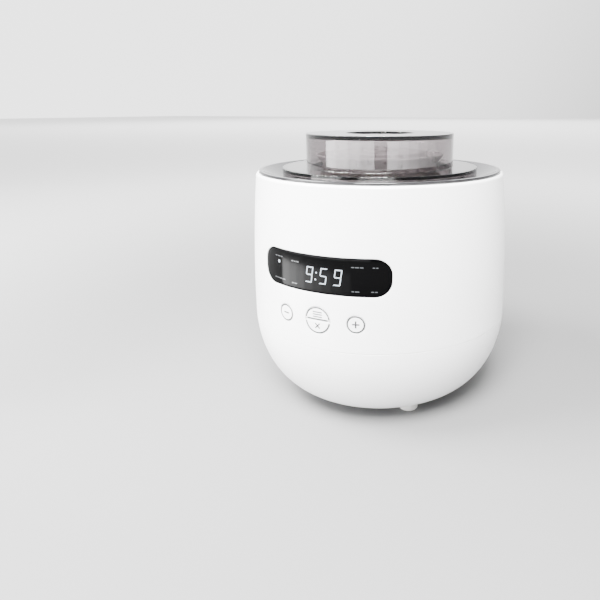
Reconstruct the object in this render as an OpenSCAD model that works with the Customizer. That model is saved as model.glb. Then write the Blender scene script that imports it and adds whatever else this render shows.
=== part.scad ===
// Yogurt maker: a round heated housing with a digital front panel, a glass jar
// with its own cap, and a clear smoked cover that stands in the dished deck.
// Origin: middle of the footprint, on the surface the feet stand on. Front faces -Y.

/* [Housing] */
// Largest diameter of the housing, at the belly
body_d = 184; // [176:1:196]
// Height of the belly, where the upper wall and the lower bowl meet tangentially
belly_z = 61; // [58:1:64]
// Height of the seam between the upper housing and the lower bowl
seam_z = 58.5; // [56:0.5:60]
// Height of the housing's top edge
top_z = 159.3; // [158:0.1:161]
// Radius of the long arc that draws the upper wall inwards
wall_arc_r = 980; // [800:10:1400]
// Radius of the flat part of the bowl's underside
base_r = 51.5; // [46:0.5:56]
// Wall thickness of the moulded shells
wall = 2.5; // [2:0.1:3]

/* [Feet] */
// Diameter of one rubber foot
foot_d = 13; // [10:0.5:14]
// How far the feet lift the bowl off the surface
foot_h = 3; // [2:0.5:4]
// Distance of each foot from the middle
foot_at = 56; // [52:1:57]

/* [Front panel] */
// Width of the black window, seen from the front
window_w = 87.8; // [80:0.2:92]
// Height of the black window
window_h = 23; // [20:0.5:26]
// Height of the window's middle above the surface
window_z = 106.1; // [104:0.1:108]
// Corner radius of the window
window_corner = 9.5; // [6:0.5:11]
// Thickness of the window
window_t = 2.2; // [1.6:0.1:2.4]
// How far the window lies under the housing's surface
window_reveal = 0.3; // [0.1:0.1:0.5]

/* [Buttons] */
// Height of the row of buttons
button_z = 77.5; // [76:0.5:79]
// Sideways distance of the plus and minus buttons
button_pitch = 24.3; // [22:0.1:26]
// Diameter of the opening for the plus and minus buttons
small_button_d = 11.4; // [10:0.2:12]
// Diameter of the shared opening for the menu and cancel buttons
big_button_d = 17.4; // [16:0.2:18]
// Gap round a button
button_gap = 0.3; // [0.2:0.05:0.4]

/* [Deck and pot] */
// Outer diameter of the dished deck ring
deck_d = 170; // [166:0.5:170]
// Height of the deck's outer edge
deck_z = 161; // [160.5:0.1:161.5]
// Height of the deck's floor, where the cover stands
deck_floor_z = 154; // [153:0.5:154.5]
// Inner radius of the heated pot
pot_r = 60; // [59.5:0.1:60.5]
// Height of the pot's floor, where the jar stands
pot_floor_z = 18.2; // [17:0.2:20]
// Sheet thickness of the pot
pot_t = 1.2; // [0.8:0.1:1.5]

/* [Jar] */
// Outer radius of the jar
jar_r = 57; // [54:0.5:57]
// Outer radius of the jar's neck
neck_r = 37.5; // [34:0.5:38]
// Height of the jar's mouth
mouth_z = 160.5; // [159:0.5:161]
// Glass thickness
glass_t = 3; // [2.5:0.1:3.5]

/* [Cap and cover] */
// Outer radius of the cap's skirt
cap_r = 40.6; // [40.5:0.1:41]
// Outer radius of the cap's flared rim
cap_flare_r = 45.3; // [44:0.1:46]
// Height of the cap's flared rim
cap_top_z = 171; // [170:0.5:172]
// Outer radius of the cover's lower step
tier_r = 69; // [68.5:0.1:69.3]
// Height of the cover's lower step
tier_z = 162.2; // [161.5:0.1:163]
// Outer radius of the cover's dome
dome_r = 52.2; // [51:0.1:54]
// Height of the cover's top, the highest point of the object
cover_z = 185.2; // [183:0.1:188]
// Wall thickness of the cover
cover_t = 2.4; // [2:0.1:2.6]

/* [Hidden] */
$fn = 96;
eps = 0.01;

body_r = body_d / 2;
bowl_steps = 14;
wall_steps = 8;
shoulder_r = 2;
ledge_z = deck_z - 3.5;
ledge_t = 2.5;
ledge_in_r = deck_d / 2 - 6;
// Screws that join the two housings
post_at = 68.5;
post_d = 8;
post_angles = [45, 135, 225, 315];
screw_seat_z = 48;
screw_hole_d = 3.4;
screw_well_d = 6.8;
web_t = 2.5;
// Slots in the bowl's floor that let warm air in
vent_from = 22;
vent_l = 18;
vent_w = 2;
// Height of the ceiling of the sockets that hold the feet
foot_socket_z = 7;
// Display board, seen from the front: it stands upright behind the window
board_t = 1.6;
display_y = -77;
display_w = 70;
display_zs = [62, 128];
display_post_x = 31;
display_post_zs = [65.5, 124.5];
// Power board, upright at the rear
power_y = 69;
power_w = 70;
power_zs = [84, 130];
power_post_x = 30;
power_post_zs = [88, 126];
post_small_d = 6;
// Holes that the screws cut their threads in
housing_pilot_d = 2.6;
board_pilot_d = 2;
// The seat and the thicker wall round the window
window_seat = 2.5;
window_pad = 4;
window_fit = 0.15;
window_reach = window_h / 2 + 6.5;
// Tactile switches under the buttons
switch_w = 6;
switch_h = 3.5;
plunger_h = 0.8;
switch_clear = 0.7;
half_offset = big_button_d / 4;
// Middles of the four switches, as x and z
switch_places = [
    [-button_pitch, button_z],
    [0, button_z + half_offset],
    [0, button_z - half_offset],
    [button_pitch, button_z]
];
// The flange that keeps a button in, and where its front lies
flange_over = 1.2;
flange_t = 1.2;
small_flange_y = -83.4;
big_flange_y = -88.2;
// Cord gland at the rear of the bowl
gland_z = 24;
gland_d = 11;
gland_bore_d = 7;
gland_pad_y = 83.6;
gland_nut_y = 74;
gland_nut_t = 3.6;
deck_t = 2.2;
gasket_t = 1;
pot_z = deck_floor_z - deck_t - gasket_t;
pot_under_z = pot_floor_z - pot_t;
pot_corner = 6;
fuse_d = 4;
fuse_y = 24;
pot_screw_at = 66;
deck_hole_r = pot_r + 2;
// Height of the tongue that locates the two housings on each other
tongue_h = 3;
// The flat signal cable between the boards
cable_r = 80;
cable_zs = [100, 108];

// Outer radius of the housing at height z
function wall_r(z) =
    z > belly_z
        ? body_r - wall_arc_r + sqrt(pow(wall_arc_r, 2) - pow(z - belly_z, 2))
        : base_r + (body_r - base_r)
            * sqrt(max(0, 1 - pow((belly_z - z) / (belly_z - foot_h), 2)));

// Points on the bowl from the flat underside up to the seam, moved in by d
function bowl_points(d) = [
    for (i = [0:bowl_steps])
        let (
            last = acos(1 - (seam_z - foot_h) / (belly_z - foot_h)),
            a = last * i / bowl_steps,
            drop = (belly_z - foot_h - d) * cos(a)
        )
        [base_r + (body_r - base_r - d) * sin(a), belly_z - drop]
];

// Points on the upper wall from height z0 to z1, moved in by d
function wall_points(z0, z1, d) = [
    for (i = [0:wall_steps])
        let (z = z0 + (z1 - z0) * i / wall_steps)
        [wall_r(z) - d, z]
];

function reversed(list) = [for (i = [len(list) - 1:-1:0]) list[i]];

module revolve(points) {
    rotate_extrude() polygon(points);
}

// A flat shape drawn in X and Z, given depth from y0 back to y1
module along_y(x, z, y0, y1) {
    translate([x, y1, z]) rotate([90, 0, 0]) linear_extrude(y1 - y0) children();
}

// A rod along Y
module rod_y(x, z, y0, y1, d) {
    along_y(x, z, y0, y1) circle(d = d);
}

// Everything inside the housing's outer surface, moved in by d
module housing_core(d) {
    revolve(concat(
        [[0, foot_h + d]],
        bowl_points(d),
        wall_points(belly_z, top_z - shoulder_r, d),
        [[0, top_z - shoulder_r]]
    ));
}

// A band of the upper wall between the depths d0 and d1 under the surface
module wall_band(d0, d1, z0, z1) {
    revolve(concat(wall_points(z0, z1, d0), reversed(wall_points(z0, z1, d1))));
}

// The window's outline with its round ends, grown by d
module window_shape(d) {
    w = window_w / 2 - window_corner;
    h = window_h / 2 - window_corner;
    r = window_corner + d;
    square([2 * (w + r), 2 * h], center = true);
    square([2 * w, 2 * (h + r)], center = true);
    for (sx = [-1, 1], sz = [-1, 1]) {
        translate([sx * w, sz * h]) circle(r = r);
    }
}

// A pan screw along +Z with the underside of its head at z = 0
module screw(d, head_d, head_h, length) {
    difference() {
        translate([0, 0, -head_h]) cylinder(d = head_d, h = head_h);
        translate([0, 0, -head_h - eps]) cross_slot(d * 0.9, head_h * 0.55);
    }
    cylinder(d = d, h = length);
}

module cross_slot(width, depth) {
    for (a = [0, 90]) {
        rotate([0, 0, a]) translate([-width / 2, -0.35, 0]) cube([width, 0.7, depth]);
    }
}

/* Housing */

module upper_housing() {
    color("#f3f2f0")
    difference() {
        union() {
            upper_shell();
            wall_pad();
            intersection() {
                housing_core(1);
                union() {
                    for (a = post_angles) rotate([0, 0, a]) upper_post();
                    for (x = [-1, 1], z = display_post_zs) {
                        rod_y(x * display_post_x, z, -body_r, display_y, post_small_d);
                    }
                    for (x = [-1, 1], z = power_post_zs) {
                        rod_y(x * power_post_x, z, power_y + board_t, body_r, post_small_d);
                    }
                }
            }
        }
        window_cuts();
        button_cuts();
        for (a = post_angles) {
            rotate([0, 0, a]) translate([post_at, 0, seam_z - 1])
                cylinder(d = housing_pilot_d, h = 16);
        }
        for (x = [-1, 1], z = display_post_zs) {
            rod_y(x * display_post_x, z, display_y - 6, display_y + 1, board_pilot_d);
        }
        for (x = [-1, 1], z = power_post_zs) {
            rod_y(x * power_post_x, z, power_y, power_y + board_t + 6, board_pilot_d);
        }
    }
}

// The revolved shell with its rounded shoulder and the ledge for the deck
module upper_shell() {
    edge_r = wall_r(top_z - shoulder_r);
    shoulder = [
        for (a = [15:15:90])
            [edge_r - shoulder_r * (1 - cos(a)), top_z - shoulder_r * (1 - sin(a))]
    ];
    revolve(concat(
        wall_points(seam_z, top_z - shoulder_r, 0),
        shoulder,
        [
            [deck_d / 2 + 0.1, top_z],
            [deck_d / 2 + 0.1, ledge_z],
            [ledge_in_r, ledge_z],
            [ledge_in_r, ledge_z - ledge_t],
            [wall_r(ledge_z) - wall, ledge_z - ledge_t]
        ],
        reversed(wall_points(seam_z, ledge_z - ledge_t - 1, wall))
    ));
}

// Thicker wall behind the window, which carries the window's seat
module wall_pad() {
    intersection() {
        wall_band(1, wall + 2.5, window_z - window_reach, window_z + window_reach);
        along_y(0, window_z, -body_r, -40) window_shape(window_pad);
    }
}

module window_cuts() {
    depth = window_reveal + window_t;
    intersection() {
        wall_band(-1, depth, window_z - window_reach, window_z + window_reach);
        along_y(0, window_z, -body_r - 2, -40) window_shape(window_fit);
    }
    along_y(0, window_z, -body_r - 2, -40) window_shape(-window_seat);
}

module button_cuts() {
    rod_y(0, button_z, -body_r - 2, -80, big_button_d);
    for (x = [-1, 1]) {
        rod_y(x * button_pitch, button_z, -body_r - 2, -80, small_button_d);
    }
}

// A screw boss with the web that ties it to the wall above the tongue
module upper_post() {
    post_h = 18;
    web_z = tongue_h + 0.3;
    translate([post_at, 0, seam_z]) cylinder(d = post_d, h = post_h);
    translate([post_at, -web_t / 2, seam_z + web_z])
        cube([body_r - post_at, web_t, post_h - web_z]);
}

module lower_housing() {
    color("#eeedeb")
    difference() {
        union() {
            lower_shell();
            intersection() {
                housing_core(1);
                union() {
                    for (a = post_angles) rotate([0, 0, a]) lower_post();
                    for (a = post_angles) {
                        rotate([0, 0, a]) translate([foot_at, 0, foot_h])
                            cylinder(d = foot_d + 4, h = foot_socket_z - foot_h + 2);
                    }
                }
            }
            rod_y(0, gland_z, gland_nut_y, gland_pad_y, gland_d + 7);
        }
        for (a = post_angles) {
            rotate([0, 0, a]) {
                translate([foot_at, 0, -1]) cylinder(d = foot_d + 0.2, h = foot_socket_z + 1);
                translate([post_at, 0, -1]) cylinder(d = screw_hole_d, h = seam_z + 2);
                translate([post_at, 0, -1]) cylinder(d = screw_well_d, h = screw_seat_z + 1);
            }
        }
        rod_y(0, gland_z, 60, body_r + 1, gland_d);
        rod_y(0, gland_z, gland_pad_y, body_r + 1, gland_d + 4.6);
        for (a = [0:30:330]) rotate([0, 0, a]) {
            translate([vent_from, -vent_w / 2, foot_h - 1]) cube([vent_l, vent_w, wall + 2.5]);
        }
    }
}

// The revolved bowl with a flat floor and a tongue that locates the upper housing
module lower_shell() {
    seam_r = wall_r(seam_z) - wall - 0.1;
    revolve(concat(
        [[0, foot_h]],
        bowl_points(0),
        [
            [seam_r, seam_z],
            [seam_r, seam_z + tongue_h],
            [seam_r - 1.5, seam_z + tongue_h],
            [seam_r - 1.5, seam_z - 6]
        ],
        reversed([for (p = bowl_points(wall)) if (p[1] < seam_z - 8) p]),
        [[0, foot_h + wall]]
    ));
}

// A column for one housing screw with its web
module lower_post() {
    height = seam_z - foot_h;
    translate([post_at, 0, foot_h]) cylinder(d = post_d + 2, h = height);
    translate([post_at, -web_t / 2, foot_h]) cube([body_r - post_at - 6, web_t, height - 8]);
}

module feet() {
    color("#dddcd8")
    for (a = post_angles) {
        rotate([0, 0, a]) translate([foot_at, 0, 0]) {
            rotate_extrude() {
                square([foot_d / 2 - 1, foot_socket_z]);
                translate([0, 1]) square([foot_d / 2, foot_socket_z - 1]);
                translate([foot_d / 2 - 1, 1]) circle(r = 1);
            }
        }
    }
}

module housing_screws() {
    color("silver")
    for (a = post_angles) {
        rotate([0, 0, a]) translate([post_at, 0, screw_seat_z]) screw(2.6, 6, 2, 22);
    }
}

// Flanged bush that the cord would pass through
module cord_gland() {
    color("#d8d7d4")
    difference() {
        union() {
            rod_y(0, gland_z, 70, gland_pad_y, gland_d - 0.4);
            rod_y(0, gland_z, gland_pad_y, gland_pad_y + 2.4, gland_d + 4);
        }
        rod_y(0, gland_z, 69, gland_pad_y + 4, gland_bore_d);
    }
}

module gland_nut() {
    color("#c9c8c5")
    difference() {
        along_y(0, gland_z, gland_nut_y - gland_nut_t, gland_nut_y) circle(d = 17, $fn = 6);
        rod_y(0, gland_z, 70, gland_nut_y + 1, gland_d - 0.4);
    }
}

/* Deck and pot */

module deck_ring() {
    color("#4a4a4e", 0.8)
    difference() {
        union() {
            revolve([
                [deck_hole_r, deck_floor_z - deck_t],
                [tier_r + 1.4, deck_floor_z - deck_t],
                [ledge_in_r - 1.2, ledge_z],
                [deck_d / 2, ledge_z],
                [deck_d / 2, deck_z - 0.5],
                [deck_d / 2 - 0.5, deck_z],
                [deck_d / 2 - 1.5, deck_z],
                [tier_r + 1, deck_floor_z],
                [deck_hole_r, deck_floor_z]
            ]);
            for (a = [30:60:330]) rotate([0, 0, a]) deck_hook(6);
        }
        for (a = [0:90:270]) {
            rotate([0, 0, a]) translate([pot_screw_at, 0, deck_floor_z - deck_t - 1])
                cylinder(d = 2.2, h = 2.6);
        }
    }
}

// A snap hook, as wide as w, that catches under the housing's ledge
module deck_hook(w) {
    r = ledge_in_r - 0.3;
    translate([0, w / 2, 0]) rotate([90, 0, 0]) linear_extrude(w) polygon([
        [r - 1.6, ledge_z],
        [r - 1.6, ledge_z - 7],
        [r, ledge_z - 7],
        [r + 1.3, ledge_z - ledge_t - 1.4],
        [r + 1.3, ledge_z - ledge_t - 0.1],
        [r, ledge_z - ledge_t - 0.1],
        [r, ledge_z]
    ]);
}

module heating_pot() {
    color("#c4c6c8")
    difference() {
        rotate_extrude() {
            difference() {
                pot_section(pot_r + pot_t, pot_under_z, pot_corner + pot_t);
                pot_section(pot_r, pot_floor_z, pot_corner);
                translate([0, pot_z]) square([pot_r + 10, 20]);
            }
            translate([pot_r, pot_z - 1]) square([9, 1]);
        }
        for (a = [0:90:270]) {
            rotate([0, 0, a]) translate([pot_screw_at, 0, pot_z - 2]) cylinder(d = 3.2, h = 4);
        }
    }
}

// Half section of a cup with a rounded lower corner
module pot_section(r, z, corner) {
    translate([0, z]) square([r - corner, pot_z + 5 - z]);
    translate([0, z + corner]) square([r, pot_z + 5 - z - corner]);
    translate([r - corner, z + corner]) circle(r = corner);
}

module pot_gasket() {
    color("#b9b9b6")
    rotate_extrude() translate([pot_r + 2.2, pot_z]) square([1.6, gasket_t]);
}

module pot_screws() {
    color("silver")
    for (a = [0:90:270]) {
        rotate([0, 0, a]) translate([pot_screw_at, 0, pot_z - 1]) screw(2.2, 5, 1.6, 3.4);
    }
}

// Flexible heater wrapped round the pot, open where its leads come out
module heater_band() {
    color("#c8743a")
    difference() {
        rotate_extrude() translate([pot_r + pot_t + 0.05, 34]) square([1.3, 46]);
        translate([-4, 50, 30]) cube([8, 20, 60]);
    }
}

module ntc_sensor() {
    body_h = 5;
    tail_h = 2.2;
    color("#e8e4da")
    translate([0, 0, pot_under_z - body_h]) {
        cylinder(d = 6, h = body_h);
        translate([0, 0, -tail_h]) cylinder(d = 3, h = tail_h);
    }
}

// Spring strip that holds the sensor against the pot
module sensor_clip() {
    strip_t = 0.5;
    drop = 4.4;
    half_l = 16;
    width = 8;
    color("#b0b2b4")
    translate([0, 0, pot_under_z])
    difference() {
        for (side = [0, 1]) mirror([side, 0, 0]) {
            translate([0, -width / 2, -drop]) cube([half_l, width, strip_t]);
            translate([half_l - strip_t, -width / 2, -drop]) cube([strip_t, width, drop]);
            translate([half_l - strip_t, -width / 2, -strip_t]) cube([4.5, width, strip_t]);
        }
        translate([0, 0, -drop - 1]) cylinder(d = 6.2, h = strip_t + 2);
    }
}

module thermal_fuse() {
    color("#d9d5c4")
    translate([0, fuse_y, pot_under_z - fuse_d / 2]) rotate([0, 90, 0]) {
        cylinder(d = fuse_d, h = 12, center = true);
        cylinder(d = 1, h = 24, center = true);
    }
}

// Saddle that presses the fuse to the pot's underside
module fuse_clip() {
    width = 6;
    tab_t = 0.6;
    fit_d = fuse_d + 0.04;
    color("#b0b2b4")
    translate([0, fuse_y, pot_under_z])
    difference() {
        union() {
            translate([-width / 2, -fuse_d / 2 - 0.5, -fuse_d - tab_t])
                cube([width, fuse_d + 1, fuse_d + tab_t]);
            translate([-width / 2, -6.5, -tab_t]) cube([width, 13, tab_t]);
        }
        translate([0, 0, -fuse_d / 2]) rotate([0, 90, 0])
            cylinder(d = fit_d, h = width + 2, center = true);
        translate([-width / 2 - 1, -fit_d / 2, -fuse_d / 2]) cube([width + 2, fit_d, fuse_d]);
    }
}

/* Front panel */

module display_window() {
    back = window_reveal + window_t;
    color("#101014")
    intersection() {
        wall_band(window_reveal, back, window_z - window_reach, window_z + window_reach);
        along_y(0, window_z, -body_r, -40) window_shape(0);
    }
}

// A board standing upright with four screw holes
module upright_board(w, zs, y, hole_x, hole_zs) {
    difference() {
        translate([-w / 2, y, zs[0]]) cube([w, board_t, zs[1] - zs[0]]);
        for (x = [-1, 1], z = hole_zs) rod_y(x * hole_x, z, y - 1, y + board_t + 1, 2.6);
    }
}

module display_board() {
    color("#2f6b45")
    upright_board(display_w, display_zs, display_y, display_post_x, display_post_zs);
}

module led_module() {
    size = [40.4, 7, 15.2];
    color("#26262a")
    translate([-size[0] / 2, display_y - size[1], window_z - size[2] / 2]) cube(size);
}

// Function lights beside the digits, two rows on each side
module indicator_leds() {
    size = [2.4, 2, 1.6];
    color("#f0f0e0")
    for (x = [-31, -25.5, 25.5, 31], z = [-6, 6]) {
        translate([x - size[0] / 2, display_y - size[1], window_z + z - size[2] / 2]) cube(size);
    }
}

module tact_switches() {
    color("#3a3a3e")
    for (p = switch_places) {
        translate([p[0] - switch_w / 2, display_y - switch_h, p[1] - switch_w / 2])
            cube([switch_w, switch_h, switch_w]);
        rod_y(p[0], p[1], display_y - switch_h - plunger_h, display_y - switch_h + 0.5, 3.4);
    }
}

module display_screws() {
    color("silver")
    for (x = [-1, 1], z = display_post_zs) {
        translate([x * display_post_x, display_y + board_t, z])
            rotate([90, 0, 0]) screw(2, 4.6, 1.5, 6);
    }
}

// One button: a face cut from the wall's own surface, a flange that keeps it in,
// and a stem that ends just short of its switch. flange_y is the flange's front.
module button_cap(x, d, flange_y) {
    intersection() {
        wall_band(0, wall + 6, button_z - 12, button_z + 12);
        rod_y(x, button_z, -body_r, flange_y + 0.5, d - 2 * button_gap);
    }
    rod_y(x, button_z, flange_y, flange_y + flange_t, d + 2 * flange_over);
}

module button_stem(x, z, flange_y) {
    rod_y(x, z, flange_y, display_y - switch_h - plunger_h - switch_clear, 4);
}

module small_button(x) {
    button_cap(x, small_button_d, small_flange_y);
    button_stem(x, button_z, small_flange_y);
}

module button_minus() {
    color("#f1f0ee") small_button(-button_pitch);
}

module button_plus() {
    color("#f1f0ee") small_button(button_pitch);
}

// Half of the round pair: side is 1 for the upper half and -1 for the lower half
module half_button(side) {
    reach = 20;
    intersection() {
        union() {
            button_cap(0, big_button_d, big_flange_y);
            button_stem(0, button_z + side * half_offset, big_flange_y);
        }
        translate([0, display_y - reach / 2, button_z + side * (reach + button_gap) / 2])
            cube([2 * reach, 2 * reach, reach], center = true);
    }
}

module button_menu() {
    color("#f1f0ee") half_button(1);
}

module button_cancel() {
    color("#f1f0ee") half_button(-1);
}

/* Power electronics */

module power_board() {
    color("#7a5a2c")
    upright_board(power_w, power_zs, power_y, power_post_x, power_post_zs);
}

module relay() {
    color("#2a4f8c")
    translate([-19, power_y + board_t, 103]) cube([19, 12, 15.5]);
}

module filter_capacitor() {
    color("#33363c")
    rod_y(17, 96, power_y + board_t, power_y + board_t + 12, 13);
}

module buzzer() {
    color("#18181a")
    difference() {
        rod_y(17, 117, power_y + board_t, power_y + board_t + 8, 12);
        rod_y(17, 117, power_y + board_t + 5, power_y + board_t + 9, 2.2);
    }
}

module terminal_block() {
    color("#3c8a52")
    difference() {
        translate([-17, power_y + board_t, 88]) cube([15, 10, 9]);
        for (x = [-13.2, -5.8]) {
            translate([x, power_y + board_t + 6, 86]) cylinder(d = 3.4, h = 6);
        }
    }
}

module power_screws() {
    color("silver")
    for (x = [-1, 1], z = power_post_zs) {
        translate([x * power_post_x, power_y, z]) rotate([-90, 0, 0]) screw(2, 4.6, 1.5, 7);
    }
}

// Flat cable round the pot, with a plug on each board
module signal_cable() {
    color("#d7d2c6") {
        translate([0, 0, cable_zs[0]]) rotate([0, 0, -65]) rotate_extrude(angle = 129.5)
            translate([cable_r - 0.4, 0]) square([0.8, cable_zs[1] - cable_zs[0]]);
        translate([27, display_y + board_t, cable_zs[0] - 1]) cube([8, 5.4, 10]);
        translate([28, power_y + board_t, cable_zs[0] - 1]) cube([7, 5.4, 10]);
    }
}

/* Jar, cap and cover */

// Half section of the jar's body and neck, moved in by d
function jar_points(d) =
    let (
        shoulder_z = 134,
        neck_z = 150,
        rise = neck_z - shoulder_z,
        run = jar_r - neck_r
    )
    concat(
        [for (a = [0:15:90]) [jar_r - 7 + (7 - d) * sin(a), pot_floor_z + 7 - (7 - d) * cos(a)]],
        [
            for (t = [0:0.125:1])
                [neck_r - d + run * (0.5 + 0.5 * cos(180 * t)), shoulder_z - d * 0.4 + rise * t]
        ],
        [[neck_r - d, mouth_z]]
    );

module jar() {
    color("#e3eef0", 0.5)
    revolve(concat(
        [[0, pot_floor_z]],
        jar_points(0),
        reversed(jar_points(glass_t)),
        [[0, pot_floor_z + glass_t]]
    ));
}

// The cap: a skirt round the neck, a flared rim for the fingers, and a raised disc
// with a low knob
module jar_cap() {
    skirt_z = 152;
    plate_z = mouth_z + 2;
    trough_z = plate_z + 2.2;
    disc_r = 33.2;
    disc_z = cap_top_z + 1.5;
    knob_r = 12.5;
    knob_h = 3;
    edge = 0.6;
    color("#e9e4e4", 0.8)
    revolve(concat(
        [
            [0, disc_z - 2.2],
            [disc_r - 2.2, disc_z - 2.2],
            [disc_r - 2.2, plate_z],
            [cap_r - 1.8, plate_z],
            [cap_r - 1.8, skirt_z],
            [cap_r, skirt_z],
            [cap_r, plate_z + 2],
            [cap_r + 1.2, plate_z + 4.4],
            [cap_flare_r - edge, cap_top_z - 1.4],
            [cap_flare_r, cap_top_z - edge],
            [cap_flare_r - edge / 2, cap_top_z],
            [cap_flare_r - 1.6, cap_top_z],
            [cap_r - 0.9, plate_z + 5.2],
            [cap_r - 2.4, trough_z + 0.4],
            [disc_r, trough_z],
            [disc_r, disc_z - edge],
            [disc_r - edge, disc_z]
        ],
        [for (a = [0:15:90]) [knob_r * cos(a), disc_z + knob_h * sin(a)]]
    ));
}

module cap_seal() {
    color("#f4f2ee")
    rotate_extrude() translate([neck_r - glass_t - 0.6, mouth_z]) square([glass_t + 1.6, 2]);
}

// The clear cover: a low step that stands in the deck, and a dome over the cap
module cover() {
    top_t = 2.8;
    recess_r = 24;
    recess_t = 1;
    soft = 0.6;
    color("#6b6468", 0.5)
    revolve([
        [0, cover_z - top_t],
        [dome_r - cover_t, cover_z - top_t],
        [dome_r - cover_t, tier_z - cover_t],
        [tier_r - cover_t, tier_z - cover_t],
        [tier_r - cover_t, deck_floor_z],
        [tier_r, deck_floor_z],
        [tier_r, tier_z - soft],
        [tier_r - soft, tier_z],
        [dome_r, tier_z],
        [dome_r, cover_z - soft],
        [dome_r - soft, cover_z],
        [recess_r, cover_z],
        [recess_r, cover_z - recess_t],
        [0, cover_z - recess_t]
    ]);
}

upper_housing();
lower_housing();
feet();
housing_screws();
cord_gland();
gland_nut();
deck_ring();
heating_pot();
pot_gasket();
pot_screws();
heater_band();
ntc_sensor();
sensor_clip();
thermal_fuse();
fuse_clip();
display_window();
display_board();
led_module();
indicator_leds();
tact_switches();
display_screws();
power_board();
relay();
filter_capacitor();
buzzer();
terminal_block();
power_screws();
signal_cable();
button_minus();
button_menu();
button_cancel();
button_plus();
jar();
jar_cap();
cap_seal();
cover();
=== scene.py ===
"""Yogurt maker: the looks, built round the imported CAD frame. Metres, +Z up, front faces -Y."""
import math

import bmesh
import bpy
from mathutils import Matrix, Vector
from mathutils.geometry import delaunay_2d_cdt


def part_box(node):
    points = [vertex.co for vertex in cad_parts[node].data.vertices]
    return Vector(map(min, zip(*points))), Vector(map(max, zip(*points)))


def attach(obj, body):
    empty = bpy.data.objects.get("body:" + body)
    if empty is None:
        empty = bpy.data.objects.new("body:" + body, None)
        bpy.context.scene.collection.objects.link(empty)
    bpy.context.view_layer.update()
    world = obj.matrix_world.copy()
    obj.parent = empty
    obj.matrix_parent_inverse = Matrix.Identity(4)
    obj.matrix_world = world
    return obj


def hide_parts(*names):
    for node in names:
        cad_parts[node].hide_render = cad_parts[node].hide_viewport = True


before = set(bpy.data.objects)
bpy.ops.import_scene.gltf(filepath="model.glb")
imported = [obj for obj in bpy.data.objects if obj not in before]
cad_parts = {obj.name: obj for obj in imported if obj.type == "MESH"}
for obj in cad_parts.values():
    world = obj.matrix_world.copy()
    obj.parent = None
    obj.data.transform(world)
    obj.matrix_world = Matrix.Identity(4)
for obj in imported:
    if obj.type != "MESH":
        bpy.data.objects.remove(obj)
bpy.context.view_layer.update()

MM = 0.001
# Divisions of a full turn, of a round button and of a rounded edge
COLUMNS = 240
DISC_SIDES = 72
EDGE_STEPS = 4

# ---------------------------------------------------------------- places from the frame

shell_lo, shell_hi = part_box("upper_housing")
bowl_lo, bowl_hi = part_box("lower_housing")
_, deck_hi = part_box("deck_ring")
_, pot_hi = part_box("heating_pot")
jar_lo, jar_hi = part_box("jar")
cap_lo, cap_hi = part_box("jar_cap")
_, seal_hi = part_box("cap_seal")
cover_lo, cover_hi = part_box("cover")
window_lo, window_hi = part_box("display_window")
gland_lo, gland_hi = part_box("cord_gland")
small_lo, small_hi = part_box("button_plus")

BODY_R = shell_hi.x
SEAM_Z = shell_lo.z
TOP_Z = shell_hi.z
BASE_Z = bowl_lo.z
DECK_R = deck_hi.x
DECK_Z = deck_hi.z
WINDOW_W = window_hi.x - window_lo.x
WINDOW_H = window_hi.z - window_lo.z
WINDOW_Z = (window_hi.z + window_lo.z) / 2
BUTTON_X = (small_lo.x + small_hi.x) / 2
BUTTON_Z = (small_lo.z + small_hi.z) / 2

# Shapes that the boxes don't give
BELLY_Z = 61 * MM
WALL_ARC_R = 980 * MM
BASE_R = 51.5 * MM
WALL = 2.5 * MM
SEAM_EDGE = 0.45 * MM
BOWL_EDGE = 0.12 * MM
SHOULDER_R = 2 * MM
WINDOW_CORNER = 9.5 * MM
WINDOW_REVEAL = 0.3 * MM
WINDOW_T = 2.2 * MM
BUTTON_GAP = 0.3 * MM
SMALL_BUTTON_D = 11.4 * MM
BIG_BUTTON_D = 17.4 * MM
LEDGE_DROP = 3.5 * MM
NECK_R = 37.5 * MM
GLASS_T = 3 * MM



def wall_radius(z):
    """Outer radius of the housing at height z."""
    if z > BELLY_Z:
        return BODY_R - WALL_ARC_R + math.sqrt(WALL_ARC_R**2 - (z - BELLY_Z) ** 2)
    share = (BELLY_Z - z) / (BELLY_Z - BASE_Z)
    return BASE_R + (BODY_R - BASE_R) * math.sqrt(max(0.0, 1 - share * share))


def on_front(x, z, depth):
    """The point on the front wall that is seen at x and z, depth under the surface."""
    r = wall_radius(z) - depth
    return Vector((x, -math.sqrt(r * r - x * x), z))


def turned(r, z, angle):
    """A point at radius r and height z, turned from the front by angle towards +X."""
    return Vector((r * math.sin(angle), -r * math.cos(angle), z))


# ---------------------------------------------------------------- outlines

def arc(cx, cy, r, start, end, steps):
    """Points along an arc, in degrees, both ends included."""
    turn = (end - start) / steps
    return [
        (cx + r * math.cos(math.radians(start + turn * i)),
         cy + r * math.sin(math.radians(start + turn * i)))
        for i in range(steps + 1)
    ]


def round_rect(w, h, r, cx, cz, steps=12):
    """A rectangle with round corners, as a closed list of points, anticlockwise."""
    x, z = w / 2 - r, h / 2 - r
    return (
        arc(cx + x, cz - z, r, -90, 0, steps)
        + arc(cx + x, cz + z, r, 0, 90, steps)
        + arc(cx - x, cz + z, r, 90, 180, steps)
        + arc(cx - x, cz - z, r, 180, 270, steps)
    )


def spread(points, step):
    """Adds points so that no side of the closed outline is longer than step."""
    out = []
    for a, b in zip(points, points[1:] + points[:1]):
        pieces = max(1, math.ceil(math.dist(a, b) / step - 1e-6))
        for i in range(pieces):
            out.append((a[0] + (b[0] - a[0]) * i / pieces, a[1] + (b[1] - a[1]) * i / pieces))
    return out


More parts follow.
